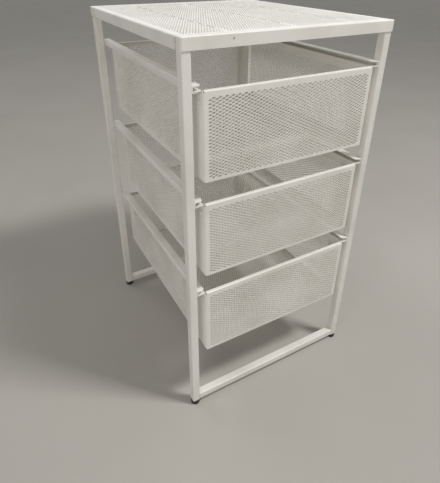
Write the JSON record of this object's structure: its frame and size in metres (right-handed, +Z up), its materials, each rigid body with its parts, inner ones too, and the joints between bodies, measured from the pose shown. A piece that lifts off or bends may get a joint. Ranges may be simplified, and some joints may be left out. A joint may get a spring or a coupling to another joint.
{
  "type": "drawer unit",
  "caption": "Free-standing drawer unit: white square-tube frame, folded perforated steel top, and perforated sheet-steel drawers that slide on side runners.",
  "frame": {"origin": "centre of the footprint, on the floor under the feet", "axes": "+Z up, -Y towards the drawer fronts, +X to the right seen from the front"},
  "size_m": [0.3, 0.34, 0.56],
  "materials": {
    "white_steel": "satin white powder coat",
    "black_plastic": "moulded, matt",
    "white_plastic": "moulded, satin",
    "zinc_steel": "zinc plated"
  },
  "bodies": {
    "frame": {"front_bottom_bar": "white_steel", "front_left_upright": "white_steel", "front_left_foot_socket": "black_plastic", "front_right_upright": "white_steel", "front_right_foot_socket": "black_plastic", "rear_bottom_bar": "white_steel", "rear_left_upright": "white_steel", "rear_left_foot_socket": "black_plastic", "rear_right_upright": "white_steel", "rear_right_foot_socket": "black_plastic", "upper_left_rail": "white_steel", "upper_right_rail": "white_steel", "middle_left_rail": "white_steel", "middle_right_rail": "white_steel", "lower_left_rail": "white_steel", "lower_right_rail": "white_steel", "rail_screws": "zinc_steel", "top_panel": "white_steel"},
    "front_left_foot": {"front_left_foot": "black_plastic"},
    "front_right_foot": {"front_right_foot": "black_plastic"},
    "rear_left_foot": {"rear_left_foot": "black_plastic"},
    "rear_right_foot": {"rear_right_foot": "black_plastic"},
    "upper_drawer": {"upper_drawer_left_side": "white_steel", "upper_drawer_right_side": "white_steel", "upper_drawer_floor": "white_steel", "upper_drawer_front": "white_steel", "upper_drawer_back": "white_steel", "upper_drawer_rivets": "white_plastic"},
    "middle_drawer": {"middle_drawer_left_side": "white_steel", "middle_drawer_right_side": "white_steel", "middle_drawer_floor": "white_steel", "middle_drawer_front": "white_steel", "middle_drawer_back": "white_steel", "middle_drawer_rivets": "white_plastic"},
    "lower_drawer": {"lower_drawer_left_side": "white_steel", "lower_drawer_right_side": "white_steel", "lower_drawer_floor": "white_steel", "lower_drawer_front": "white_steel", "lower_drawer_back": "white_steel", "lower_drawer_rivets": "white_plastic"}
  },
  "joints": [
    {"name": "upper_drawer_slide", "type": "slide", "parent": "frame", "child": "upper_drawer", "axis": [0, -1, 0], "range_m": [0, 0.24]},
    {"name": "middle_drawer_slide", "type": "slide", "parent": "frame", "child": "middle_drawer", "axis": [0, -1, 0], "range_m": [0, 0.24]},
    {"name": "lower_drawer_slide", "type": "slide", "parent": "frame", "child": "lower_drawer", "axis": [0, -1, 0], "range_m": [0, 0.24]},
    {"name": "front_left_foot_screw", "type": "slide", "parent": "frame", "child": "front_left_foot", "axis": [0, 0, -1], "range_m": [0, 0.008]},
    {"name": "front_right_foot_screw", "type": "slide", "parent": "frame", "child": "front_right_foot", "axis": [0, 0, -1], "range_m": [0, 0.008]},
    {"name": "rear_left_foot_screw", "type": "slide", "parent": "frame", "child": "rear_left_foot", "axis": [0, 0, -1], "range_m": [0, 0.008]},
    {"name": "rear_right_foot_screw", "type": "slide", "parent": "frame", "child": "rear_right_foot", "axis": [0, 0, -1], "range_m": [0, 0.008]}
  ]
}
